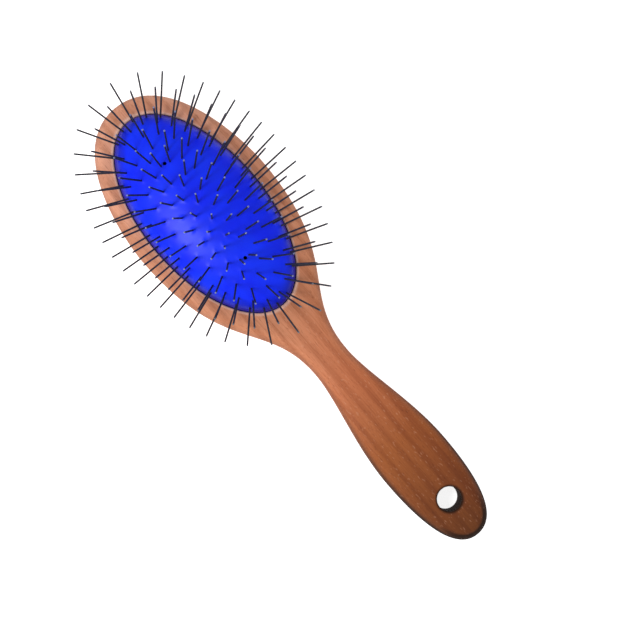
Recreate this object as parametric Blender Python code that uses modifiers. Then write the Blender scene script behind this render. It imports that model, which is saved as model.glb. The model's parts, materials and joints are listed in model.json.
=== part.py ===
"""An oval air-cushion pin brush, lying on its flat back with its pins up.

Metres. +Y runs from the handle towards the head, +Z from the back towards the pins. The origin is
on the back face, below the middle of the cushion.
"""

import math
import random

import bmesh
import bpy
from mathutils import Matrix, Vector

# Wooden body: half widths across X, and places along Y
HEAD_END_Y = 0.0601
HEAD_HALF_WIDTH = 0.0339
HEAD_WIDEST_Y = 0.0018
NECK_HALF_WIDTH = 0.0088
NECK_Y = -0.0837
HANDLE_HALF_WIDTH = 0.0161
HANDLE_WIDEST_Y = -0.1406
TAIL_END_Y = -0.1822
BOARD_THICK = 0.0135
EDGE_ROUND = 0.005
OUTLINE_STEPS = 7
EDGE_STEPS = 2

# Hanging hole in the handle
HOLE_Y = -0.1618
HOLE_RADIUS = 0.0054
HOLE_SIDES = 32

# Seat of the cushion: depths below the board's face, and clearances outside the cushion's oval
MOUTH_CLEARANCE = 0.00035
LIP_DEPTH = 0.0012
GROOVE_CLEARANCE = 0.0022
LEDGE_DEPTH = 0.004
CHAMBER_STEP_IN = 0.0012
CHAMBER_DEPTH = 0.0085

# Cushion: an oval dome of rubber, half an ellipsoid above the board's face
CUSHION_HALF_WIDTH = 0.0262
CUSHION_HALF_LENGTH = 0.0509
DOME_HEIGHT = 0.013
RUBBER_THICK = 0.0015
RUBBER_SKIRT = 0.0015
RUBBER_FLANGE = 0.0018
VENT_PLACES = ((0.0, 0.026), (0.0, -0.026))
VENT_RADIUS = 0.0008
VENT_SIDES = 10
OVAL_SIDES = 48
DOME_RINGS = 8

# Backing cloth below the pin heads
CLOTH_INSET = 0.00275
CLOTH_THICK = 0.0004
CLOTH_SKIRT = 0.0033
CLOTH_FLANGE = 0.00395
CLOTH_SIDES = 36
CLOTH_RINGS = 6
CLOTH_VENT_RADIUS = 0.0012

# Pins
PIN_RADIUS = 0.0004
PIN_STANDING = 0.023
PIN_SIDES = 6
PIN_HOLE_RADIUS = 0.00065
HEAD_RADIUS = 0.0011
HEAD_THICK = 0.0004
HEAD_GAP = 0.0004
LINK_WIDTH = 0.0012
LINK_THICK = 0.00025
LEAN_SCATTER = math.radians(1.2)

# Oval rows of pins: name, distance in from the cushion's edge, pins, pins to a node, and the first
# pin's place as a share of the spacing
OVAL_ROWS = [
    ("outer_row", 0.0018, 40, 2, 0.3),
    ("second_row", 0.0048, 36, 4, 0.7),
    ("third_row", 0.0102, 28, 4, 0.1),
    ("fourth_row", 0.0168, 22, 2, 0.05),
    ("fifth_row", 0.0218, 14, 2, 0.55),
]
OVAL_STEPS = 2000

# Straight row along the middle of the cushion
CENTRE_PINS = 4
CENTRE_PINS_TO_A_NODE = 2
CENTRE_SPACING = 0.009

OVERCUT = 0.001


def clear_scene():
    for thing in list(bpy.data.objects):
        bpy.data.objects.remove(thing, do_unlink=True)


def new_collection(name):
    group = bpy.data.collections.new(name)
    bpy.context.scene.collection.children.link(group)
    return group


def new_material(name, colour, roughness, metallic=0.0):
    material = bpy.data.materials.new(name)
    material.use_nodes = True
    shader = material.node_tree.nodes["Principled BSDF"]
    shader.inputs["Base Color"].default_value = (*colour, 1.0)
    shader.inputs["Roughness"].default_value = roughness
    shader.inputs["Metallic"].default_value = metallic
    return material


def oiled_hardwood():
    return new_material("oiled_hardwood", (0.36, 0.13, 0.06), 0.45)


def blue_rubber():
    return new_material("blue_rubber", (0.006, 0.03, 0.85), 0.35)


def undyed_cloth():
    return new_material("undyed_cloth", (0.6, 0.57, 0.5), 0.9)


def polished_steel():
    return new_material("polished_steel", (0.45, 0.46, 0.48), 0.25, metallic=1.0)


def object_from(bm, name, group):
    mesh = bpy.data.meshes.new(name)
    bm.to_mesh(mesh)
    bm.free()
    made = bpy.data.objects.new(name, mesh)
    group.objects.link(made)
    return made


def finish_part(part, material):
    part.data.materials.append(material)
    part.data.shade_smooth()
    part.data.set_sharp_from_angle(angle=math.radians(35))


def hide_cutter(cutter):
    cutter.hide_render = True
    cutter.display_type = "WIRE"


def add_boolean(part, other, operation):
    modifier = part.modifiers.new(operation.lower() + "_" + other.name, "BOOLEAN")
    modifier.operation = operation
    modifier.solver = "EXACT"
    modifier.object = other


def evaluated_mesh(thing):
    depsgraph = bpy.context.evaluated_depsgraph_get()
    return bpy.data.meshes.new_from_object(thing.evaluated_get(depsgraph))


def dome_direction(point):
    """The outward direction, square to the dome, at a point measured from the dome's centre."""
    return Vector(
        (
            point.x / CUSHION_HALF_WIDTH**2,
            point.y / CUSHION_HALF_LENGTH**2,
            point.z / DOME_HEIGHT**2,
        )
    ).normalized()


def oval_direction(point):
    return dome_direction(Vector((point.x, point.y, 0.0)))


# --- Wooden body ------------------------------------------------------------------------------


def outline_points():
    """Right half of the outline, from the head's end to the tail: place, handle in, handle out."""
    return [
        ((0.0, HEAD_END_Y), (-0.0284, 0.0), (0.0284, 0.0)),
        ((HEAD_HALF_WIDTH, HEAD_WIDEST_Y), (0.0, 0.0129), (0.0, -0.0543)),
        ((NECK_HALF_WIDTH, NECK_Y), (0.0, 0.0320), (0.0, -0.0144)),
        ((HANDLE_HALF_WIDTH, HANDLE_WIDEST_Y), (0.0, 0.0217), (0.0, -0.0318)),
        ((0.0, TAIL_END_Y), (0.0091, 0.0), (-0.0091, 0.0)),
    ]


def mirrored(knot):
    """A knot's twin on the left half, where the outline runs the other way."""
    place, handle_in, handle_out = knot
    return tuple((-x, y) for x, y in (place, handle_out, handle_in))


def make_board_blank(group):
    right = outline_points()
    knots = right + [mirrored(knot) for knot in reversed(right[1:-1])]
    curve = bpy.data.curves.new("board_outline", "CURVE")
    curve.dimensions = "2D"
    curve.fill_mode = "BOTH"
    curve.resolution_u = OUTLINE_STEPS
    curve.extrude = BOARD_THICK / 2 - EDGE_ROUND
    curve.bevel_depth = EDGE_ROUND
    curve.bevel_resolution = EDGE_STEPS
    curve.offset = -EDGE_ROUND
    spline = curve.splines.new("BEZIER")
    spline.use_cyclic_u = True
    spline.bezier_points.add(len(knots) - 1)
    for point, (place, handle_in, handle_out) in zip(spline.bezier_points, knots):
        point.handle_left_type = "FREE"
        point.handle_right_type = "FREE"
        point.co = (*place, 0.0)
        point.handle_left = (place[0] + handle_in[0], place[1] + handle_in[1], 0.0)
        point.handle_right = (place[0] + handle_out[0], place[1] + handle_out[1], 0.0)
    outline = bpy.data.objects.new("board_outline", curve)
    group.objects.link(outline)
    outline.location.z = BOARD_THICK / 2
    bpy.context.view_layer.update()
    bm = bmesh.new()
    bm.from_mesh(evaluated_mesh(outline))
    bmesh.ops.remove_doubles(bm, verts=bm.verts, dist=1e-6)
    body = object_from(bm, "wooden_body", group)
    body.matrix_world = outline.matrix_world
    bpy.data.objects.remove(outline, do_unlink=True)
    return body


def oval_cutter(name, group, outward, low, high):
    """An oval prism, outward from the cushion's oval, between two heights."""
    bm = bmesh.new()
    bmesh.ops.create_cone(
        bm, cap_ends=True, segments=OVAL_SIDES, radius1=1.0, radius2=1.0, depth=high - low
    )
    size = (CUSHION_HALF_WIDTH + outward, CUSHION_HALF_LENGTH + outward, 1.0)
    bmesh.ops.scale(bm, vec=size, verts=bm.verts)
    bmesh.ops.translate(bm, vec=(0.0, 0.0, (low + high) / 2), verts=bm.verts)
    cutter = object_from(bm, name, group)
    hide_cutter(cutter)
    return cutter


def round_cutter(name, group, radius, place, low, high, sides):
    bm = bmesh.new()
    bmesh.ops.create_cone(
        bm, cap_ends=True, segments=sides, radius1=radius, radius2=radius, depth=high - low
    )
    bmesh.ops.translate(bm, vec=(*place, (low + high) / 2), verts=bm.verts)
    cutter = object_from(bm, name, group)
    hide_cutter(cutter)
    return cutter


def make_wooden_body(parts, cutters, material):
    """One board: the air chamber, the groove for the cushion's flange and the hanging hole."""
    body = make_board_blank(parts)
    ledge = BOARD_THICK - LEDGE_DEPTH
    lip = BOARD_THICK - LIP_DEPTH
    mid_groove = (ledge + lip) / 2
    cuts = [
        oval_cutter(
            "mouth_cutter", cutters, MOUTH_CLEARANCE, mid_groove, BOARD_THICK + OVERCUT
        ),
        oval_cutter("groove_cutter", cutters, GROOVE_CLEARANCE, ledge, lip),
        oval_cutter(
            "chamber_cutter",
            cutters,
            -CHAMBER_STEP_IN,
            BOARD_THICK - CHAMBER_DEPTH,
            mid_groove,
        ),
        round_cutter(
            "hanging_hole_cutter",
            cutters,
            HOLE_RADIUS,
            (0.0, HOLE_Y),
            -OVERCUT,
            BOARD_THICK + OVERCUT,
            HOLE_SIDES,
        ),
    ]
    for cutter in cuts:
        add_boolean(body, cutter, "DIFFERENCE")
    finish_part(body, material)
    return body


# --- Cushion and backing cloth ------------------------------------------------------------------


def move_rim(bm, rim_edges, outward=0.0, down=0.0):
    """Extrudes the open rim, and returns the new rim's edges."""
    grown = bmesh.ops.extrude_edge_only(bm, edges=rim_edges)["geom"]
    for corner in (item for item in grown if isinstance(item, bmesh.types.BMVert)):
        corner.co += oval_direction(corner.co) * outward
        corner.co.z -= down
    return [item for item in grown if isinstance(item, bmesh.types.BMEdge)]


def face_outwards(bm):
    """Turns an open dome's faces away from its inside."""
    bmesh.ops.recalc_face_normals(bm, faces=bm.faces)
    top = max(bm.faces, key=lambda face: face.calc_center_median().z)
    if top.normal.z < 0.0:
        bmesh.ops.reverse_faces(bm, faces=bm.faces)


def dome_skin(name, group, inset, sides, rings, skirt, flange, thick):
    """A dome inset from the cushion's own, with a skirt and a flange, and an even wall."""
    bm = bmesh.new()
    bmesh.ops.create_uvsphere(bm, u_segments=sides, v_segments=2 * rings, radius=1.0)
    below = [v for v in bm.verts if v.co.z < -1e-4]
    bmesh.ops.delete(bm, geom=below, context="VERTS")
    size = (CUSHION_HALF_WIDTH, CUSHION_HALF_LENGTH, DOME_HEIGHT)
    bmesh.ops.scale(bm, vec=size, verts=bm.verts)
    for corner in bm.verts:
        corner.co -= dome_direction(corner.co) * inset
    rim = [edge for edge in bm.edges if edge.is_boundary]
    rim = move_rim(bm, rim, down=skirt)
    move_rim(bm, rim, outward=flange)
    face_outwards(bm)
    skin = object_from(bm, name, group)
    skin.location.z = BOARD_THICK
    wall = skin.modifiers.new("wall", "SOLIDIFY")
    wall.thickness = thick
    wall.offset = -1.0
    return skin


def pin_hole_cutter(group, pins):
    """All the pin holes of the cushion, as one cutter."""
    bm = bmesh.new()
    reach = 2 * RUBBER_THICK
    for foot, direction in pins:
        turn = direction.to_track_quat("Z", "Y").to_matrix().to_4x4()
        middle = foot - direction * RUBBER_THICK / 2
        bmesh.ops.create_cone(
            bm,
            cap_ends=True,
            segments=PIN_SIDES,
            radius1=PIN_HOLE_RADIUS,
            radius2=PIN_HOLE_RADIUS,
            depth=reach,
            matrix=Matrix.Translation(middle) @ turn,
        )
    cutter = object_from(bm, "pin_hole_cutter", group)
    hide_cutter(cutter)
    return cutter


def cut_vents(piece, group, radius):
    low = BOARD_THICK + DOME_HEIGHT / 2
    high = BOARD_THICK + DOME_HEIGHT + OVERCUT
    for number, place in enumerate(VENT_PLACES, start=1):
        name = f"{piece.name}_vent_cutter_{number}"
        cutter = round_cutter(name, group, radius, place, low, high, VENT_SIDES)
        add_boolean(piece, cutter, "DIFFERENCE")


def make_cushion(parts, cutters, material, pins):
    cushion = dome_skin(
        "rubber_cushion",
        parts,
        0.0,
        OVAL_SIDES,
        DOME_RINGS,
        RUBBER_SKIRT,
        RUBBER_FLANGE,
        RUBBER_THICK,
    )
    add_boolean(cushion, pin_hole_cutter(cutters, pins), "DIFFERENCE")
    cut_vents(cushion, cutters, VENT_RADIUS)
    finish_part(cushion, material)
    return cushion


def make_backing_cloth(parts, cutters, material):
    cloth = dome_skin(
        "backing_cloth",
        parts,
        CLOTH_INSET,
        CLOTH_SIDES,
        CLOTH_RINGS,
        CLOTH_SKIRT,
        CLOTH_FLANGE,
        CLOTH_THICK,
    )
    cut_vents(cloth, cutters, CLOTH_VENT_RADIUS)
    finish_part(cloth, material)
    return cloth


# --- Pins -----------------------------------------------------------------------------------------


def oval_places(half_width, half_length, count, start):
    """Points spaced evenly along an oval, clockwise from the head's end."""
    oval = []
    for i in range(OVAL_STEPS + 1):
        angle = 2 * math.pi * i / OVAL_STEPS
        oval.append(Vector((half_width * math.sin(angle), half_length * math.cos(angle))))
    travelled = [0.0]
    for a, b in zip(oval, oval[1:]):
        travelled.append(travelled[-1] + (b - a).length)
    places = []
    for pin in range(count):
        wanted = (pin + start) / count * travelled[-1]
        step = max(i for i in range(OVAL_STEPS) if travelled[i] <= wanted)
        share = (wanted - travelled[step]) / (travelled[step + 1] - travelled[step])
        places.append(oval[step].lerp(oval[step + 1], share))
    return places


def scattered(direction, chance):
    """A direction turned a little about a random level axis, as hand-set pins are."""
    heading = chance.uniform(0.0, 2 * math.pi)
    lean = chance.uniform(0.0, LEAN_SCATTER)
    axis = Vector((math.cos(heading), math.sin(heading), 0.0))
    return (Matrix.Rotation(lean, 3, axis) @ direction).normalized()


def oval_row_places(inset, count, start):
    half_width = CUSHION_HALF_WIDTH - inset
    half_length = CUSHION_HALF_LENGTH - inset
    return oval_places(half_width, half_length, count, start)


def centre_row_places():
    first = CENTRE_SPACING * (CENTRE_PINS - 1) / 2
    return [Vector((0.0, first - CENTRE_SPACING * i)) for i in range(CENTRE_PINS)]


def pins_at(places, chance):
    """Each pin's point on the dome and its direction, in world space."""
    pins = []
    for place in places:
        flat = (place.x / CUSHION_HALF_WIDTH) ** 2 + (place.y / CUSHION_HALF_LENGTH) ** 2
        foot = Vector((place.x, place.y, DOME_HEIGHT * math.sqrt(1.0 - flat)))
        direction = scattered(dome_direction(foot), chance)
        pins.append((foot + Vector((0.0, 0.0, BOARD_THICK)), direction))
    return pins


def pin_solid(name, group, foot, direction):
    """A nail-headed pin, whose head lies below the rubber."""
    head_top = -(RUBBER_THICK + HEAD_GAP)
    profile = [
        (0.0, head_top - HEAD_THICK),
        (HEAD_RADIUS, head_top - HEAD_THICK),
        (HEAD_RADIUS, head_top),
        (PIN_RADIUS, head_top),
        (PIN_RADIUS, PIN_STANDING),
        (0.0, PIN_STANDING),
    ]
    bm = bmesh.new()
    corners = [bm.verts.new((radius, 0.0, height)) for radius, height in profile]
    edges = [bm.edges.new(pair) for pair in zip(corners, corners[1:])]
    bmesh.ops.spin(
        bm,
        geom=corners + edges,
        cent=(0.0, 0.0, 0.0),
        axis=(0.0, 0.0, 1.0),
        angle=2 * math.pi,
        steps=PIN_SIDES,
        use_merge=True,
    )
    bmesh.ops.remove_doubles(bm, verts=bm.verts, dist=1e-6)
    bmesh.ops.recalc_face_normals(bm, faces=bm.faces)
    turn = direction.to_track_quat("Z", "Y").to_matrix().to_4x4()
    bm.transform(Matrix.Translation(foot) @ turn)
    return object_from(bm, name, group)


def link_solid(name, group, pin_a, pin_b):
    """The thin strip that joins two neighbouring heads."""
    depth = RUBBER_THICK + HEAD_GAP + HEAD_THICK / 2
    a, b = (foot - direction * depth for foot, direction in (pin_a, pin_b))
    along = (b - a).normalized()
    up = (pin_a[1] + pin_b[1]).normalized()
    across = up.cross(along).normalized()
    up = along.cross(across)
    turn = Matrix((along, across, up)).transposed().to_4x4()
    bm = bmesh.new()
    bmesh.ops.create_cube(bm, size=1.0)
    size = ((b - a).length, LINK_WIDTH, LINK_THICK)
    bmesh.ops.scale(bm, vec=size, verts=bm.verts)
    bm.transform(Matrix.Translation((a + b) / 2) @ turn)
    return object_from(bm, name, group)


def make_pin_node(name, parts, material, pins):
    """Neighbouring pins of one row, joined head to head into one solid."""
    solids = [pin_solid(name, parts, *pin) for pin in pins]
    for pin_a, pin_b in zip(pins, pins[1:]):
        solids.append(link_solid("link", parts, pin_a, pin_b))
    node = solids[0]
    for other in solids[1:]:
        add_boolean(node, other, "UNION")
    bpy.context.view_layer.update()
    joined = evaluated_mesh(node)
    node.modifiers.clear()
    node.data = joined
    for other in solids[1:]:
        bpy.data.objects.remove(other, do_unlink=True)
    finish_part(node, material)
    return node


def make_row(name, parts, material, pins, pins_to_node):
    for number, first in enumerate(range(0, len(pins), pins_to_node), start=1):
        make_pin_node(
            f"{name}_pins_{number:02d}", parts, material, pins[first : first + pins_to_node]
        )


clear_scene()
brush = new_collection("pin_brush")
cutting_tools = new_collection("cutters")
hand_setting = random.Random(7)
rows = [
    (name, pins_at(oval_row_places(inset, count, start), hand_setting), pins_to_node)
    for name, inset, count, pins_to_node, start in OVAL_ROWS
]
rows.append(("centre_row", pins_at(centre_row_places(), hand_setting), CENTRE_PINS_TO_A_NODE))
make_wooden_body(brush, cutting_tools, oiled_hardwood())
make_cushion(brush, cutting_tools, blue_rubber(), [pin for _, pins, _ in rows for pin in pins])
make_backing_cloth(brush, cutting_tools, undyed_cloth())
steel = polished_steel()
for name, pins, pins_to_node in rows:
    make_row(name, brush, steel, pins, pins_to_node)
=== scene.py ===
import json
import math
import random

import bmesh
import bpy
from mathutils import Matrix, Vector
from mathutils.geometry import interpolate_bezier


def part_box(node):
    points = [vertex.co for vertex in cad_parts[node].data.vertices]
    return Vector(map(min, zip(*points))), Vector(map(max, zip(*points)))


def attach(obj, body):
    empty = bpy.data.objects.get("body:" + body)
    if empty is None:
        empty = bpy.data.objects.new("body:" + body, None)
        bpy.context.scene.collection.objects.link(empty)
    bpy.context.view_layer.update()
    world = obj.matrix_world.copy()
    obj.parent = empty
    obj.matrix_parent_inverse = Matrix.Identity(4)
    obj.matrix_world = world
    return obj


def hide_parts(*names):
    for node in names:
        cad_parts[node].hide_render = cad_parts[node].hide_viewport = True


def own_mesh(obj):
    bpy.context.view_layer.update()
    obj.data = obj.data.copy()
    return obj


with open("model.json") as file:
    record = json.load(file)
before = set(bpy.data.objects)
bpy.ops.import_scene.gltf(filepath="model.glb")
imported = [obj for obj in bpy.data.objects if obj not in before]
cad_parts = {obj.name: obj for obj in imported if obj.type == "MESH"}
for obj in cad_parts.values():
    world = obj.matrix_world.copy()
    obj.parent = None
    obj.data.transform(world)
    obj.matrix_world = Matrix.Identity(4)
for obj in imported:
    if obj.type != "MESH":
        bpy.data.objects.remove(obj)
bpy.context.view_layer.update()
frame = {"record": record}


# ---------------------------------------------------------------------------------------------
# Wooden paddle. Head, neck and handle are one piece of steamed hardwood, sawn to shape, rounded
# over all round with a cutter, sanded and oiled. The oval seat for the cushion is routed into the
# head, with an undercut groove below its lip, and the hanging hole is drilled through the handle.
# ---------------------------------------------------------------------------------------------
MM = 0.001
paddle_low, paddle_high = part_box("wooden_body")
FACE = paddle_high.z
NECK = Vector((8.8 * MM, -83.7 * MM, 0.0))
HANDLE = Vector((16.1 * MM, -140.6 * MM, 0.0))
HEAD = Vector((paddle_high.x, 1.8 * MM, 0.0))
HEAD_END = Vector((0.0, paddle_high.y, 0.0))
TAIL_END = Vector((0.0, paddle_low.y, 0.0))
EDGE_ROUND = 5.0 * MM
EDGE_SEGMENTS = 9
OUTLINE_POINTS = 26
CUSHION_MIDDLE = Vector((0.0, 0.0, 0.0))
CUSHION_HALF_WIDTH = 26.2 * MM
CUSHION_HALF_LENGTH = 50.9 * MM
SEAT_GAP = 0.35 * MM
SEAT_SIDES = 160
HANGING_HOLE = Vector((0.0, -161.8 * MM, 0.0))
HANGING_HOLE_RADIUS = 5.4 * MM
HANGING_HOLE_SIDES = 64
SOFTENING_STEPS = 5
SAME_POINT = 1e-6


def paddle_outline(points_to_a_stretch):
    """The outline's points, clockwise from the head's end, on four curved stretches a side."""
    stretches = [
        (HEAD_END, (28.4, 0.0), (0.0, 12.9), HEAD),
        (HEAD, (0.0, -54.3), (0.0, 32.0), NECK),
        (NECK, (0.0, -14.4), (0.0, 21.7), HANDLE),
        (HANDLE, (0.0, -31.8), (9.1, 0.0), TAIL_END),
    ]
    right = []
    for start, leave, arrive, end in stretches:
        handle_a = start + Vector((*leave, 0.0)) * MM
        handle_b = end + Vector((*arrive, 0.0)) * MM
        right += interpolate_bezier(start, handle_a, handle_b, end, points_to_a_stretch)[:-1]
    left = [Vector((-p.x, p.y, 0.0)) for p in reversed(right[1:])]
    return right + [TAIL_END.copy()] + left


def quarter_round(radius, steps):
    """A quarter circle's points, as (out from the wall, down from the face)."""
    turns = [math.pi / 2 * i / steps for i in range(steps + 1)]
    return [(radius * (1 - math.sin(t)), radius * (1 - math.cos(t))) for t in turns]


def oval_loop(bm, sides, outward, height):
    """One loop of edges round the cushion's oval, moved square to it by outward."""
    corners = bmesh.ops.create_circle(bm, cap_ends=False, segments=sides, radius=1.0)["verts"]
    for corner in corners:
        x, y = corner.co.x, corner.co.y
        square = Vector((x / CUSHION_HALF_WIDTH, y / CUSHION_HALF_LENGTH, 0.0)).normalized()
        on_oval = Vector((x * CUSHION_HALF_WIDTH, y * CUSHION_HALF_LENGTH, height))
        corner.co = on_oval + square * outward
    return list({edge for corner in corners for edge in corner.link_edges})


def turned(profile, sides):
    """A solid turned round the Z axis from a profile of (radius, height) points."""
    bm = bmesh.new()
    corners = [bm.verts.new((radius, 0.0, height)) for radius, height in profile]
    edges = [bm.edges.new(pair) for pair in zip(corners, corners[1:])]
    bmesh.ops.spin(
        bm,
        geom=corners + edges,
        cent=(0, 0, 0),
        axis=(0, 0, 1),
        angle=2 * math.pi,
        steps=sides,
        use_merge=True,
    )
    bmesh.ops.remove_doubles(bm, verts=bm.verts, dist=SAME_POINT)
    bmesh.ops.recalc_face_normals(bm, faces=bm.faces)
    return bm


def mesh_piece(name, bm):
    """Makes a piece of the mesh built in bm, and ends with bm."""
    mesh = bpy.data.meshes.new(name)
    bm.to_mesh(mesh)
    bm.free()
    piece = bpy.data.objects.new(name, mesh)
    bpy.context.scene.collection.objects.link(piece)
    return piece


def shape_modifiers(piece, cutters=()):
    """Cuts the piece with its cutters and keeps the result of all its modifiers as its mesh."""
    for cutter in cutters:
        cut = piece.modifiers.new("cut", "BOOLEAN")
        cut.operation = "DIFFERENCE"
        cut.solver = "EXACT"
        cut.object = cutter
    bpy.context.view_layer.update()
    depsgraph = bpy.context.evaluated_depsgraph_get()
    shaped = bpy.data.meshes.new_from_object(piece.evaluated_get(depsgraph))
    piece.modifiers.clear()
    piece.data = shaped
    for cutter in cutters:
        bpy.data.objects.remove(cutter, do_unlink=True)


def smooth_shading(piece, sharp_degrees):
    piece.data.shade_smooth()
    piece.data.set_sharp_from_angle(angle=math.radians(sharp_degrees))
    even = piece.modifiers.new("even_faces", "WEIGHTED_NORMAL")
    even.keep_sharp = True
    even.weight = 100


def paddle_blank():
    """The sawn outline at full thickness, rounded over along both faces."""
    bm = bmesh.new()
    back = bm.faces.new([bm.verts.new(point) for point in paddle_outline(OUTLINE_POINTS)])
    walls = bmesh.ops.extrude_face_region(bm, geom=[back])["geom"]
    top = [item for item in walls if isinstance(item, bmesh.types.BMVert)]
    bmesh.ops.translate(bm, verts=top, vec=(0.0, 0.0, FACE))
    bmesh.ops.recalc_face_normals(bm, faces=bm.faces)
    rims = [edge for edge in bm.edges if abs(edge.verts[0].co.z - edge.verts[1].co.z) < MM]
    bmesh.ops.bevel(
        bm,
        geom=rims,
        offset=EDGE_ROUND,
        offset_type="OFFSET",
        segments=EDGE_SEGMENTS,
        profile=0.5,
        affect="EDGES",
        material=-1,
    )
    return mesh_piece("wooden_paddle", bm)


def seat_cutter():
    """The routed seat: a softened mouth, a lip, the undercut groove and the air chamber.

    Its profile is in millimetres, out from the cushion's oval and down from the face.
    """
    mouth, groove, chamber = SEAT_GAP / MM, 2.2, -1.2
    lip_depth, ledge_depth, floor_depth = 1.2, 4.0, 8.5
    soft, above_the_face = 0.8, -1.0
    profile = [(mouth + soft, above_the_face)]
    profile += [(mouth + out, down) for out, down in quarter_round(soft, SOFTENING_STEPS)]
    profile += [
        (mouth, lip_depth),
        (groove, lip_depth),
        (groove, ledge_depth),
        (chamber, ledge_depth),
        (chamber, floor_depth),
    ]
    bm = bmesh.new()
    loops = [oval_loop(bm, SEAT_SIDES, out * MM, FACE - down * MM) for out, down in profile]
    for upper, lower in zip(loops, loops[1:]):
        bmesh.ops.bridge_loops(bm, edges=upper + lower)
    bmesh.ops.holes_fill(bm, edges=loops[0] + loops[-1], sides=0)
    bmesh.ops.recalc_face_normals(bm, faces=bm.faces)
    return mesh_piece("seat_cutter", bm)


def hanging_hole_cutter():
    """A drill the size of the hole, with a rounding cutter at each face."""
    soft = 1.1
    corner = quarter_round(soft, SOFTENING_STEPS)
    edge = [(HANGING_HOLE_RADIUS + out * MM, down * MM) for out, down in corner]
    wide = edge[0][0]
    profile = [(0.0, -MM), (wide, -MM)] + edge
    profile += [(radius, FACE - down) for radius, down in reversed(edge)]
    profile += [(wide, FACE + MM), (0.0, FACE + MM)]
    bm = turned(profile, HANGING_HOLE_SIDES)
    bmesh.ops.translate(bm, verts=bm.verts, vec=HANGING_HOLE)
    return mesh_piece("hanging_hole_cutter", bm)


class Recipe:
    """A material's node tree, written as short steps."""

    def __init__(self, name):
        self.material = bpy.data.materials.new(name)
        self.material.use_nodes = True
        self.tree = self.material.node_tree
        self.shader = self.tree.nodes["Principled BSDF"]
        self.place = self.tree.nodes.new("ShaderNodeTexCoord").outputs["Object"]

    def node(self, kind, **sockets):
        made = self.tree.nodes.new("ShaderNode" + kind)
        for name, value in sockets.items():
            self.feed(made.inputs[name.replace("_", " ")], value)
        return made

    def feed(self, socket, value):
        if isinstance(value, bpy.types.NodeSocket):
            self.tree.links.new(value, socket)
        else:
            socket.default_value = value

    def stretched(self, x, y, z):
        """Object coordinates in millimetres, stretched along each axis."""
        mapping = self.node("Mapping", Vector=self.place, Scale=(x / MM, y / MM, z / MM))
        return mapping.outputs["Vector"]

    def noise(self, place, scale, detail=2.0, roughness=0.5):
        made = self.node("TexNoise", Vector=place, Scale=scale, Detail=detail)
        made.inputs["Roughness"].default_value = roughness
        return made.outputs["Fac"]

    def spread(self, value, low, high, to_low=0.0, to_high=1.0, kind="SMOOTHSTEP"):
        """The value's run from low to high, spread over the run from to_low to to_high."""
        made = self.node("MapRange", Value=value)
        made.interpolation_type = kind
        ends = {"From Min": low, "From Max": high, "To Min": to_low, "To Max": to_high}
        for name, number in ends.items():
            made.inputs[name].default_value = number
        return made.outputs["Result"]

    def maths(self, kind, *values):
        made = self.tree.nodes.new("ShaderNodeMath")
        made.operation = kind
        for socket, value in zip(made.inputs, values):
            self.feed(socket, value)
        return made.outputs[0]

    def mix(self, share, a, b, blend="MIX"):
        made = self.tree.nodes.new("ShaderNodeMix")
        made.data_type = "RGBA"
        made.blend_type = blend
        self.feed(made.inputs["Factor"], share)
        self.feed(made.inputs["A"], a)
        self.feed(made.inputs["B"], b)
        return made.outputs["Result"]

    def blend_along(self, value, *stops):
        """A run of colours, each placed by its share of the way, 0 to 1."""
        made = self.node("ValToRGB", Fac=value)
        run = made.color_ramp.elements
        for _ in range(len(stops) - len(run)):
            run.new(0.5)
        for element, (share, colour) in zip(run, stops):
            element.position = share
            element.color = colour
        return made.outputs["Color"]

    def distance_from(self, middle, half_width, half_length):
        """How far a place is from the middle, as a share of an oval's half sizes."""
        scale = Vector((1 / half_width, 1 / half_length, 0.0))
        mapping = self.node("Mapping", Vector=self.place, Location=-middle * scale, Scale=scale)
        length = self.node("VectorMath", Vector=mapping.outputs["Vector"])
        length.operation = "LENGTH"
        return length.outputs["Value"]

    def bump(self, height, strength, distance, under=None):
        made = self.node("Bump", Height=height, Strength=strength, Distance=distance)
        if under is not None:
            self.feed(made.inputs["Normal"], under)
        return made.outputs["Normal"]

    def finish(self, piece, colour, roughness, normal):
        self.feed(self.shader.inputs["Base Color"], colour)
        self.feed(self.shader.inputs["Roughness"], roughness)
        self.feed(self.shader.inputs["Normal"], normal)
        piece.data.materials.clear()
        piece.data.materials.append(self.material)


def from_display(red, green, blue):
    """A colour as it is seen on a screen, 0 to 255, as the light it stands for."""
    def light(value):
        share = value / 255
        return share / 12.92 if share <= 0.04045 else ((share + 0.055) / 1.055) ** 2.4
    return (light(red), light(green), light(blue), 1.0)


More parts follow.
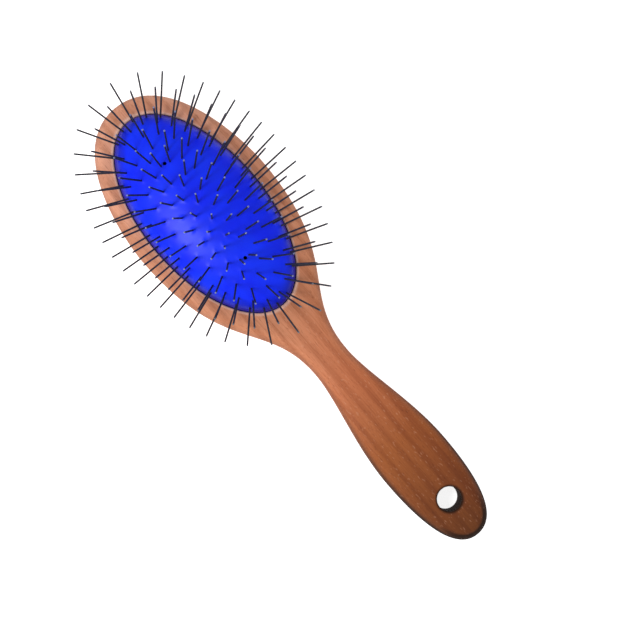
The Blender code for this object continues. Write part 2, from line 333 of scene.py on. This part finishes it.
def oiled_hardwood(piece):
    """Straight, fine grain along the handle: growth bands, fibres, pores and small ray flecks.

    The wood is pale at the head and grows browner towards the tail, partly its own tone and partly
    painted shade standing in for the light falling off along the handle. Painted shade darkens the
    rounded edges, most towards the tail, and the hanging hole; a painted highlight lightens the
    seat's lip.
    """
    wood = Recipe("oiled_hardwood")
    where = wood.node("SeparateXYZ", Vector=wood.place)
    along = wood.spread(where.outputs["Y"], paddle_low.y, paddle_high.y, kind="LINEAR")
    drift = wood.noise(wood.stretched(0.05, 0.012, 0.05), 1.0, detail=2.0)
    bands = wood.node("TexWave", Vector=wood.stretched(1.0, 0.035, 0.6), Scale=0.045)
    bands.inputs["Distortion"].default_value = 7.0
    bands.inputs["Detail"].default_value = 2.0
    bands.inputs["Detail Scale"].default_value = 1.2
    fibres = wood.noise(wood.stretched(1.0, 0.035, 1.0), 2.2, detail=4.0, roughness=0.6)
    pores = wood.noise(wood.stretched(1.0, 0.11, 1.0), 3.4, detail=1.0)
    pores = wood.spread(pores, 0.63, 0.74)
    flecks = wood.noise(wood.stretched(1.0, 0.3, 1.0), 1.5, detail=1.0)
    flecks = wood.spread(flecks, 0.62, 0.74)

    # Paler at the head, browner towards the tail: partly the wood's own tone, partly painted shade
    # for the light's falloff.
    colour = wood.blend_along(
        along,
        (0.0, from_display(108, 58, 22)),
        (0.1, from_display(132, 70, 30)),
        (0.22, from_display(164, 92, 46)),
        (0.36, from_display(200, 120, 80)),
        (0.55, from_display(214, 144, 108)),
        (1.0, from_display(226, 162, 134)),
    )
    richer = (0.85, 0.76, 0.68, 1.0)
    deeper = (0.72, 0.62, 0.55, 1.0)
    darker = (0.5, 0.4, 0.35, 1.0)
    colour = wood.mix(wood.spread(drift, 0.35, 0.65, 0.0, 0.8), colour, richer, "MULTIPLY")
    colour = wood.mix(
        wood.spread(bands.outputs["Fac"], 0.35, 1.0, 0.0, 0.6), colour, deeper, "MULTIPLY"
    )
    colour = wood.mix(wood.spread(fibres, 0.42, 0.72, 0.0, 0.6), colour, deeper, "MULTIPLY")
    colour = wood.mix(wood.maths("MULTIPLY", flecks, 0.2), colour, from_display(226, 168, 134))
    colour = wood.mix(wood.maths("MULTIPLY", pores, 0.6), colour, darker, "MULTIPLY")

    seat = wood.distance_from(
        CUSHION_MIDDLE, CUSHION_HALF_WIDTH + SEAT_GAP, CUSHION_HALF_LENGTH + SEAT_GAP
    )
    # Painted highlight: a pale band along the softened lip of the seat.
    painted_lip_highlight = wood.spread(seat, 1.045, 1.01, 0.0, 0.6)
    colour = wood.mix(painted_lip_highlight, colour, from_display(240, 202, 184))
    # Painted shade: the rounded edges darken down their slope, more towards the tail, and the
    # tail's end darkens too.
    outside = wood.spread(seat, 1.04, 1.08)
    down_the_edge = wood.spread(where.outputs["Z"], FACE - 0.3 * MM, FACE - 3.2 * MM)
    shade_towards_tail = wood.spread(where.outputs["Y"], -70 * MM, -178 * MM, 0.3, 0.97)
    edge = wood.maths("MULTIPLY", wood.maths("MULTIPLY", down_the_edge, outside), shade_towards_tail)
    painted_tail_shade = wood.maths(
        "MULTIPLY",
        wood.spread(where.outputs["Z"], FACE - 0.15 * MM, FACE - 0.9 * MM),
        wood.spread(where.outputs["Y"], -163 * MM, -178 * MM, 0.0, 0.9),
    )
    edge = wood.maths("MAXIMUM", edge, painted_tail_shade)
    colour = wood.mix(edge, colour, from_display(26, 15, 8))
    # Painted shade in the hanging hole's bore and round its mouth.
    hole = wood.distance_from(HANGING_HOLE, HANGING_HOLE_RADIUS, HANGING_HOLE_RADIUS)
    painted_hole_shade = wood.spread(hole, 1.03, 1.28, 0.9, 0.0)
    colour = wood.mix(painted_hole_shade, colour, from_display(40, 21, 11))

    sheen = wood.maths("MULTIPLY_ADD", fibres, 0.2, 0.46)
    dull = (0.95, 0.95, 0.95, 1.0)
    sheen = wood.mix(wood.maths("MAXIMUM", edge, painted_hole_shade), sheen, dull)
    normal = wood.bump(fibres, 0.18, 0.12 * MM)
    normal = wood.bump(pores, 0.35, -0.08 * MM, normal)
    wood.shader.inputs["Specular IOR Level"].default_value = 0.22
    wood.finish(piece, colour, sheen, normal)


paddle = paddle_blank()
shape_modifiers(paddle, [seat_cutter(), hanging_hole_cutter()])
smooth_shading(paddle, sharp_degrees=35)
oiled_hardwood(paddle)
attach(paddle, "paddle")
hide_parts("wooden_body")


# ---------------------------------------------------------------------------------------------
# Steel pins. Each is drawn wire, cut, headed like a nail and ground to a round, polished tip.
# They stand square to the dome in five oval rows and a short middle line, pushed up through the
# rubber from below. Each row moves with its own body when the cushion is pressed.
# ---------------------------------------------------------------------------------------------
DOME_HEIGHT = 13.0 * MM
RUBBER_THICK = 1.5 * MM
PIN_RADIUS = 0.4 * MM
PIN_STANDING = 23.0 * MM
PIN_HEAD_RADIUS = 1.1 * MM
PIN_HEAD_THICK = 0.4 * MM
PIN_HEAD_TOP = -RUBBER_THICK - 0.4 * MM
PIN_SIDES = 12
TIP_STEPS = 4
LEAN_SCATTER = math.radians(1.2)
# Each oval row's distance in from the cushion's edge, its number of pins, and where it starts.
OVAL_ROWS = {
    "outer_row": (1.8 * MM, 40, 0.3),
    "second_row": (4.8 * MM, 36, 0.7),
    "third_row": (10.2 * MM, 28, 0.1),
    "fourth_row": (16.8 * MM, 22, 0.05),
    "fifth_row": (21.8 * MM, 14, 0.55),
}
MIDDLE_LINE = [Vector((0.0, y * MM)) for y in (13.5, 4.5, -4.5, -13.5)]


def dome_direction(point):
    """Square to the dome, at a point measured from the middle of its base."""
    return Vector(
        (
            point.x / CUSHION_HALF_WIDTH**2,
            point.y / CUSHION_HALF_LENGTH**2,
            point.z / DOME_HEIGHT**2,
        )
    ).normalized()


def oval_places(half_width, half_length, count, start):
    """Points spaced evenly along an oval, clockwise from the head's end."""
    steps = 2000
    oval = []
    for i in range(steps + 1):
        angle = 2 * math.pi * i / steps
        oval.append(Vector((half_width * math.sin(angle), half_length * math.cos(angle))))
    travelled = [0.0]
    for a, b in zip(oval, oval[1:]):
        travelled.append(travelled[-1] + (b - a).length)
    places = []
    for pin in range(count):
        wanted = (pin + start) / count * travelled[-1]
        step = max(i for i in range(steps) if travelled[i] <= wanted)
        share = (wanted - travelled[step]) / (travelled[step + 1] - travelled[step])
        places.append(oval[step].lerp(oval[step + 1], share))
    return places


def standing_pins(places, chance):
    """Each pin's foot on the dome and its direction, both from the middle of the dome's base."""
    pins = []
    for place in places:
        flat = (place.x / CUSHION_HALF_WIDTH) ** 2 + (place.y / CUSHION_HALF_LENGTH) ** 2
        foot = Vector((place.x, place.y, DOME_HEIGHT * math.sqrt(1.0 - flat)))
        heading = chance.uniform(0.0, 2 * math.pi)
        lean = chance.uniform(0.0, LEAN_SCATTER)
        axis = Vector((math.cos(heading), math.sin(heading), 0.0))
        direction = (Matrix.Rotation(lean, 3, axis) @ dome_direction(foot)).normalized()
        pins.append((foot, direction))
    return pins


def pin_pattern():
    """One upright pin with its foot at the origin, turned round its axis."""
    head_bottom = PIN_HEAD_TOP - PIN_HEAD_THICK
    soft = 0.1 * MM
    profile = [
        (0.0, head_bottom),
        (PIN_HEAD_RADIUS - soft, head_bottom),
        (PIN_HEAD_RADIUS, head_bottom + soft),
        (PIN_HEAD_RADIUS, PIN_HEAD_TOP - soft),
        (PIN_HEAD_RADIUS - soft, PIN_HEAD_TOP),
        (PIN_RADIUS, PIN_HEAD_TOP),
        (PIN_RADIUS, 0.5 * PIN_STANDING),
    ]
    for i in range(TIP_STEPS + 1):
        turn = math.pi / 2 * i / TIP_STEPS
        height = PIN_STANDING - PIN_RADIUS * (1 - math.sin(turn))
        profile.append((PIN_RADIUS * math.cos(turn) if i < TIP_STEPS else 0.0, height))
    bm = turned(profile, PIN_SIDES)
    pattern = bpy.data.meshes.new("pin_pattern")
    bm.to_mesh(pattern)
    bm.free()
    return pattern


def row_of_pins(name, pins, pattern):
    """Copies the pattern to each pin's place and notes how far up the pin each corner lies."""
    bm = bmesh.new()
    height = bm.verts.layers.float.new("up_the_pin")
    for foot, direction in pins:
        before = len(bm.verts)
        bm.from_mesh(pattern)
        bm.verts.ensure_lookup_table()
        fresh = bm.verts[before:]
        for corner in fresh:
            corner[height] = corner.co.z / PIN_STANDING
        turn = direction.to_track_quat("Z", "Y").to_matrix().to_4x4()
        place = Matrix.Translation(foot + Vector((0.0, 0.0, FACE))) @ turn
        bmesh.ops.transform(bm, matrix=place, verts=fresh)
    return mesh_piece(name, bm)


def polished_wire(piece):
    """Dark drawn steel, finely scratched, with painted reflections and a painted glint: reddish
    brown from the wood low on each pin, navy from the rubber over the cushion, a lighter tip.
    """
    steel = Recipe("polished_steel_wire")
    up = steel.node("Attribute")
    up.attribute_name = "up_the_pin"
    tip = steel.spread(up.outputs["Fac"], 0.955, 0.985)
    foot = steel.spread(up.outputs["Fac"], 0.35, 0.0)
    # Painted reflection: pins over the cushion, and their tips, take a navy tinge of the blue
    # rubber.
    over_rubber = steel.distance_from(
        CUSHION_MIDDLE, CUSHION_HALF_WIDTH, CUSHION_HALF_LENGTH
    )
    over_rubber = steel.spread(over_rubber, 1.05, 0.9)
    tone = steel.noise(steel.stretched(0.5, 0.5, 0.5), 1.0, detail=2.0)
    scratches = steel.noise(steel.stretched(6.0, 6.0, 1.2), 1.6, detail=3.0, roughness=0.7)
    colour = steel.mix(
        steel.spread(tone, 0.3, 0.7), from_display(64, 64, 68), from_display(78, 78, 82)
    )
    # Painted reflection: the lower part of each pin takes a reddish-brown tinge of the wood.
    colour = steel.mix(steel.maths("MULTIPLY", foot, 0.4), colour, from_display(58, 38, 38))
    colour = steel.mix(steel.maths("MULTIPLY", over_rubber, 0.6), colour, from_display(46, 50, 86))
    # Painted glint: the rounded tip is lighter, bluer over the cushion.
    tip_glint = steel.mix(over_rubber, from_display(112, 114, 120), from_display(124, 132, 168))
    colour = steel.mix(tip, colour, tip_glint)
    steel.shader.inputs["Metallic"].default_value = 0.5
    steel.shader.inputs["Specular IOR Level"].default_value = 0.25
    steel.shader.inputs["Specular Tint"].default_value = from_display(120, 120, 126)
    drawn = steel.maths("MULTIPLY_ADD", scratches, 0.25, 0.35)
    ground = (0.3, 0.3, 0.3, 1.0)
    rough = steel.mix(tip, drawn, ground)
    normal = steel.bump(scratches, 0.12, 0.02 * MM)
    steel.finish(piece, colour, rough, normal)


hand_setting = random.Random(7)
pins = {}
for name, (inset, count, start) in OVAL_ROWS.items():
    places = oval_places(CUSHION_HALF_WIDTH - inset, CUSHION_HALF_LENGTH - inset, count, start)
    pins[name] = standing_pins(places, hand_setting)
pins["centre_row"] = standing_pins(MIDDLE_LINE, hand_setting)
pattern = pin_pattern()
for name, row in pins.items():
    steel_row = row_of_pins(name + "_pins", row, pattern)
    smooth_shading(steel_row, sharp_degrees=50)
    polished_wire(steel_row)
    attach(steel_row, name)
    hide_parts(*frame["record"]["behaviour"]["bodies"][name])
bpy.data.meshes.remove(pattern)


# ---------------------------------------------------------------------------------------------
# Rubber cushion. A moulded oval dome of soft blue rubber, 1.5 mm thick, whose skirt and flange
# sit in the seat's groove. The pins push the rubber up into a small collar where they come
# through, and two vent holes let the air out. It is built at rest; the real rubber flattens as the
# pins are pressed.
# ---------------------------------------------------------------------------------------------
CUSHION_SKIRT = 1.5 * MM
CUSHION_FLANGE = 1.8 * MM
COLLAR_HEIGHT = 0.3 * MM
COLLAR_REACH = 0.95 * MM
VENTS = (Vector((0.0, 26.0 * MM)), Vector((0.0, -26.0 * MM)))
VENT_RADIUS = 0.8 * MM
VENT_SIDES = 24


def collar_lift(point, feet):
    """How far the rubber is drawn up at a point of the dome by the pins nearest to it."""
    lift = 0.0
    for foot in feet:
        distance = (foot - point).length
        lift = max(lift, COLLAR_HEIGHT * math.exp(-((distance / COLLAR_REACH) ** 2)))
    return lift


def dome_surface(sides, rings, inset=0.0):
    """An open oval dome, inset from the cushion's own, with its base at the board's face."""
    bm = bmesh.new()
    bmesh.ops.create_uvsphere(bm, u_segments=sides, v_segments=2 * rings, radius=1.0)
    below = [corner for corner in bm.verts if corner.co.z < -1e-4]
    bmesh.ops.delete(bm, geom=below, context="VERTS")
    size = (CUSHION_HALF_WIDTH, CUSHION_HALF_LENGTH, DOME_HEIGHT)
    bmesh.ops.scale(bm, vec=size, verts=bm.verts)
    for corner in bm.verts:
        corner.co -= dome_direction(corner.co) * inset
    return bm


def grow_rim(bm, rim, outward, down):
    """Extrudes the open rim and returns the new rim."""
    grown = bmesh.ops.extrude_edge_only(bm, edges=rim)["geom"]
    for corner in (item for item in grown if isinstance(item, bmesh.types.BMVert)):
        square = dome_direction(Vector((corner.co.x, corner.co.y, 0.0)))
        corner.co += square * outward - Vector((0.0, 0.0, down))
    return [item for item in grown if isinstance(item, bmesh.types.BMEdge)]


def wall_of(bm, name, thick):
    """Turns an open surface's faces out, lifts it to the board's face and gives it a wall."""
    bmesh.ops.recalc_face_normals(bm, faces=bm.faces)
    top = max(bm.faces, key=lambda face: face.calc_center_median().z)
    if top.normal.z < 0.0:
        bmesh.ops.reverse_faces(bm, faces=bm.faces)
    bmesh.ops.translate(bm, verts=bm.verts, vec=(0.0, 0.0, FACE))
    skin = mesh_piece(name, bm)
    wall = skin.modifiers.new("wall", "SOLIDIFY")
    wall.thickness = thick
    wall.offset = -1.0
    return skin


def vent_cutter(radius, vent):
    """A punch for one vent, which reaches from half the dome's height to above its top."""
    bm = bmesh.new()
    bmesh.ops.create_cone(
        bm,
        cap_ends=True,
        segments=VENT_SIDES,
        radius1=radius,
        radius2=radius,
        depth=DOME_HEIGHT,
    )
    bmesh.ops.translate(bm, verts=bm.verts, vec=(*vent, FACE + DOME_HEIGHT))
    return mesh_piece("vent_cutter", bm)


def moulded_dome():
    """The dome with a collar at each pin, its skirt and its flange."""
    bm = dome_surface(sides=320, rings=52)
    feet = [foot for row in pins.values() for foot, _ in row]
    grid = {}
    cell = 4 * COLLAR_REACH
    for foot in feet:
        for i in (-1, 0, 1):
            for j in (-1, 0, 1):
                key = (math.floor(foot.x / cell) + i, math.floor(foot.y / cell) + j)
                grid.setdefault(key, []).append(foot)
    for corner in bm.verts:
        near = grid.get((math.floor(corner.co.x / cell), math.floor(corner.co.y / cell)), [])
        corner.co += dome_direction(corner.co) * collar_lift(corner.co, near)
    rim = [edge for edge in bm.edges if edge.is_boundary]
    rim = grow_rim(bm, rim, 0.0, CUSHION_SKIRT)
    grow_rim(bm, rim, CUSHION_FLANGE, 0.0)
    return wall_of(bm, "rubber_cushion_skin", RUBBER_THICK)


def blue_rubber(piece):
    """Soft moulded rubber: a fine skin texture, faint cloudy tone and a soft sheen, with painted
    shade darkening the dome towards its rim.
    """
    rubber = Recipe("blue_rubber")
    cloud = rubber.noise(rubber.stretched(0.07, 0.07, 0.07), 1.0, detail=2.0)
    skin = rubber.noise(rubber.stretched(1.0, 1.0, 1.0), 3.5, detail=3.0, roughness=0.6)
    colour = rubber.mix(
        rubber.spread(cloud, 0.3, 0.7), from_display(5, 34, 246), from_display(10, 50, 254)
    )
    colour = rubber.mix(
        rubber.maths("MULTIPLY", rubber.spread(skin, 0.5, 0.8), 0.12),
        colour,
        from_display(50, 76, 246),
    )
    # Painted shade: the dome darkens to navy towards its rim, where it turns down into the groove.
    rim = rubber.distance_from(
        CUSHION_MIDDLE, CUSHION_HALF_WIDTH, CUSHION_HALF_LENGTH
    )
    colour = rubber.mix(rubber.spread(rim, 0.86, 1.01, 0.0, 0.8), colour, from_display(3, 4, 110))
    rough = rubber.maths("MULTIPLY_ADD", skin, 0.1, 0.29)
    rubber.shader.inputs["Specular IOR Level"].default_value = 0.17
    normal = rubber.bump(skin, 0.12, 0.05 * MM)
    rubber.finish(piece, colour, rough, normal)


cushion = moulded_dome()
shape_modifiers(cushion, [vent_cutter(VENT_RADIUS, vent) for vent in VENTS])
smooth_shading(cushion, sharp_degrees=50)
blue_rubber(cushion)
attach(cushion, "paddle")
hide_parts("rubber_cushion")
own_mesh(cushion)


# ---------------------------------------------------------------------------------------------
# Backing cloth. A sheet of undyed cotton below the pins' heads, drawn up into the dome, with its
# edge held in the groove below the rubber's flange. It keeps the heads from being pushed back.
# ---------------------------------------------------------------------------------------------
CLOTH_INSET = 2.75 * MM
CLOTH_THICK = 0.4 * MM
CLOTH_SKIRT = 3.3 * MM
CLOTH_FLANGE = 3.95 * MM
CLOTH_VENT_RADIUS = 1.5 * VENT_RADIUS


def drawn_cloth():
    """The cloth as it lies in the dome, with its own skirt and flange."""
    bm = dome_surface(sides=96, rings=20, inset=CLOTH_INSET)
    rim = [edge for edge in bm.edges if edge.is_boundary]
    rim = grow_rim(bm, rim, 0.0, CLOTH_SKIRT)
    grow_rim(bm, rim, CLOTH_FLANGE, 0.0)
    return wall_of(bm, "cotton_backing", CLOTH_THICK)


def plain_weave(piece):
    """Plain-woven cotton: warp and weft threads half a millimetre apart."""
    cotton = Recipe("undyed_cotton")
    threads = cotton.stretched(1.0, 1.0, 1.0)
    warp = cotton.node("TexWave", Vector=threads, Scale=0.6)
    weft = cotton.node("TexWave", Vector=threads, Scale=0.6)
    weft.bands_direction = "Y"
    for yarn in (warp, weft):
        yarn.inputs["Distortion"].default_value = 0.6
    weave = cotton.maths("MULTIPLY", warp.outputs["Fac"], weft.outputs["Fac"])
    slub = cotton.noise(cotton.stretched(0.4, 0.4, 0.4), 1.0, detail=3.0)
    colour = cotton.mix(weave, from_display(176, 168, 148), from_display(224, 218, 200))
    colour = cotton.mix(cotton.maths("MULTIPLY", slub, 0.3), colour, from_display(190, 180, 156))
    rough = cotton.spread(slub, 0.2, 0.8, 0.85, 0.95)
    cotton.finish(piece, colour, rough, cotton.bump(weave, 0.5, 0.1 * MM))


backing = drawn_cloth()
shape_modifiers(backing, [vent_cutter(CLOTH_VENT_RADIUS, vent) for vent in VENTS])
smooth_shading(backing, sharp_degrees=50)
plain_weave(backing)
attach(backing, "paddle")
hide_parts("backing_cloth")
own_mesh(backing)


# ---------------------------------------------------------------------------------------------
# Studio. The brush lies on its flat back on a white, lit table, seen from almost straight above
# and turned so that its handle points to the lower right. One soft light hangs close to the
# head, on the brush's left, and fades towards the tail.
# ---------------------------------------------------------------------------------------------
CAMERA_PLACE = Vector((-33.8 * MM, -50.1 * MM, FACE + 575 * MM))
CAMERA_AIM = Vector((9.1 * MM, -65.0 * MM, FACE))
PICTURE_UP = Vector((0.6513, 0.7588, 0.0))
SEEN_WIDTH = 275.2 * MM
TABLE_HALF_SIZE = 1.5
TABLE_GAP = 0.1 * MM


def lit_table():
    """A white card that gives off its own even light, just below the brush's back."""
    bm = bmesh.new()
    bmesh.ops.create_grid(bm, x_segments=1, y_segments=1, size=TABLE_HALF_SIZE)
    bmesh.ops.translate(bm, verts=bm.verts, vec=(0.0, 0.0, paddle_low.z - TABLE_GAP))
    table = mesh_piece("table", bm)
    card = Recipe("white_card")
    tooth = card.noise(card.stretched(0.3, 0.3, 0.3), 1.0, detail=3.0)
    tone = card.mix(tooth, from_display(246, 246, 246), from_display(252, 252, 252))
    card.shader.inputs["Emission Color"].default_value = (1.0, 1.0, 1.0, 1.0)
    card.shader.inputs["Emission Strength"].default_value = 0.8
    card.finish(table, tone, 0.8, card.bump(tooth, 0.02, 0.1 * MM))


def soft_light(name, place, target, size, power):
    lamp = bpy.data.lights.new(name, "AREA")
    lamp.shape = "RECTANGLE"
    lamp.size, lamp.size_y = size
    lamp.energy = power
    holder = bpy.data.objects.new(name, lamp)
    holder.location = place
    holder.rotation_euler = (Vector(target) - Vector(place)).to_track_quat("-Z", "Y").to_euler()
    bpy.context.scene.collection.objects.link(holder)


def overhead_camera():
    """A camera whose picture is SEEN_WIDTH wide at its aim, on the board's face."""
    forward = CAMERA_AIM - CAMERA_PLACE
    lens = bpy.data.cameras.new("camera")
    lens.sensor_width = 36.0
    lens.lens = lens.sensor_width * forward.length / SEEN_WIDTH
    forward.normalize()
    right = forward.cross(PICTURE_UP).normalized()
    turn = Matrix((right, right.cross(forward), -forward)).transposed()
    holder = bpy.data.objects.new("camera", lens)
    holder.matrix_world = Matrix.Translation(CAMERA_PLACE) @ turn.to_4x4()
    bpy.context.scene.collection.objects.link(holder)
    bpy.context.scene.camera = holder


def white_room(strength):
    world = bpy.data.worlds.new("white_room")
    world.use_nodes = True
    world.node_tree.nodes["Background"].inputs["Color"].default_value = (1.0, 1.0, 1.0, 1.0)
    world.node_tree.nodes["Background"].inputs["Strength"].default_value = strength
    bpy.context.scene.world = world


lit_table()
soft_light(
    "head_softbox",
    place=(-0.17, 0.02, 0.31),
    target=CUSHION_MIDDLE,
    size=(0.06, 0.16),
    power=0.66,
)
white_room(strength=0.62)
overhead_camera()
bpy.context.scene.view_settings.view_transform = "Standard"
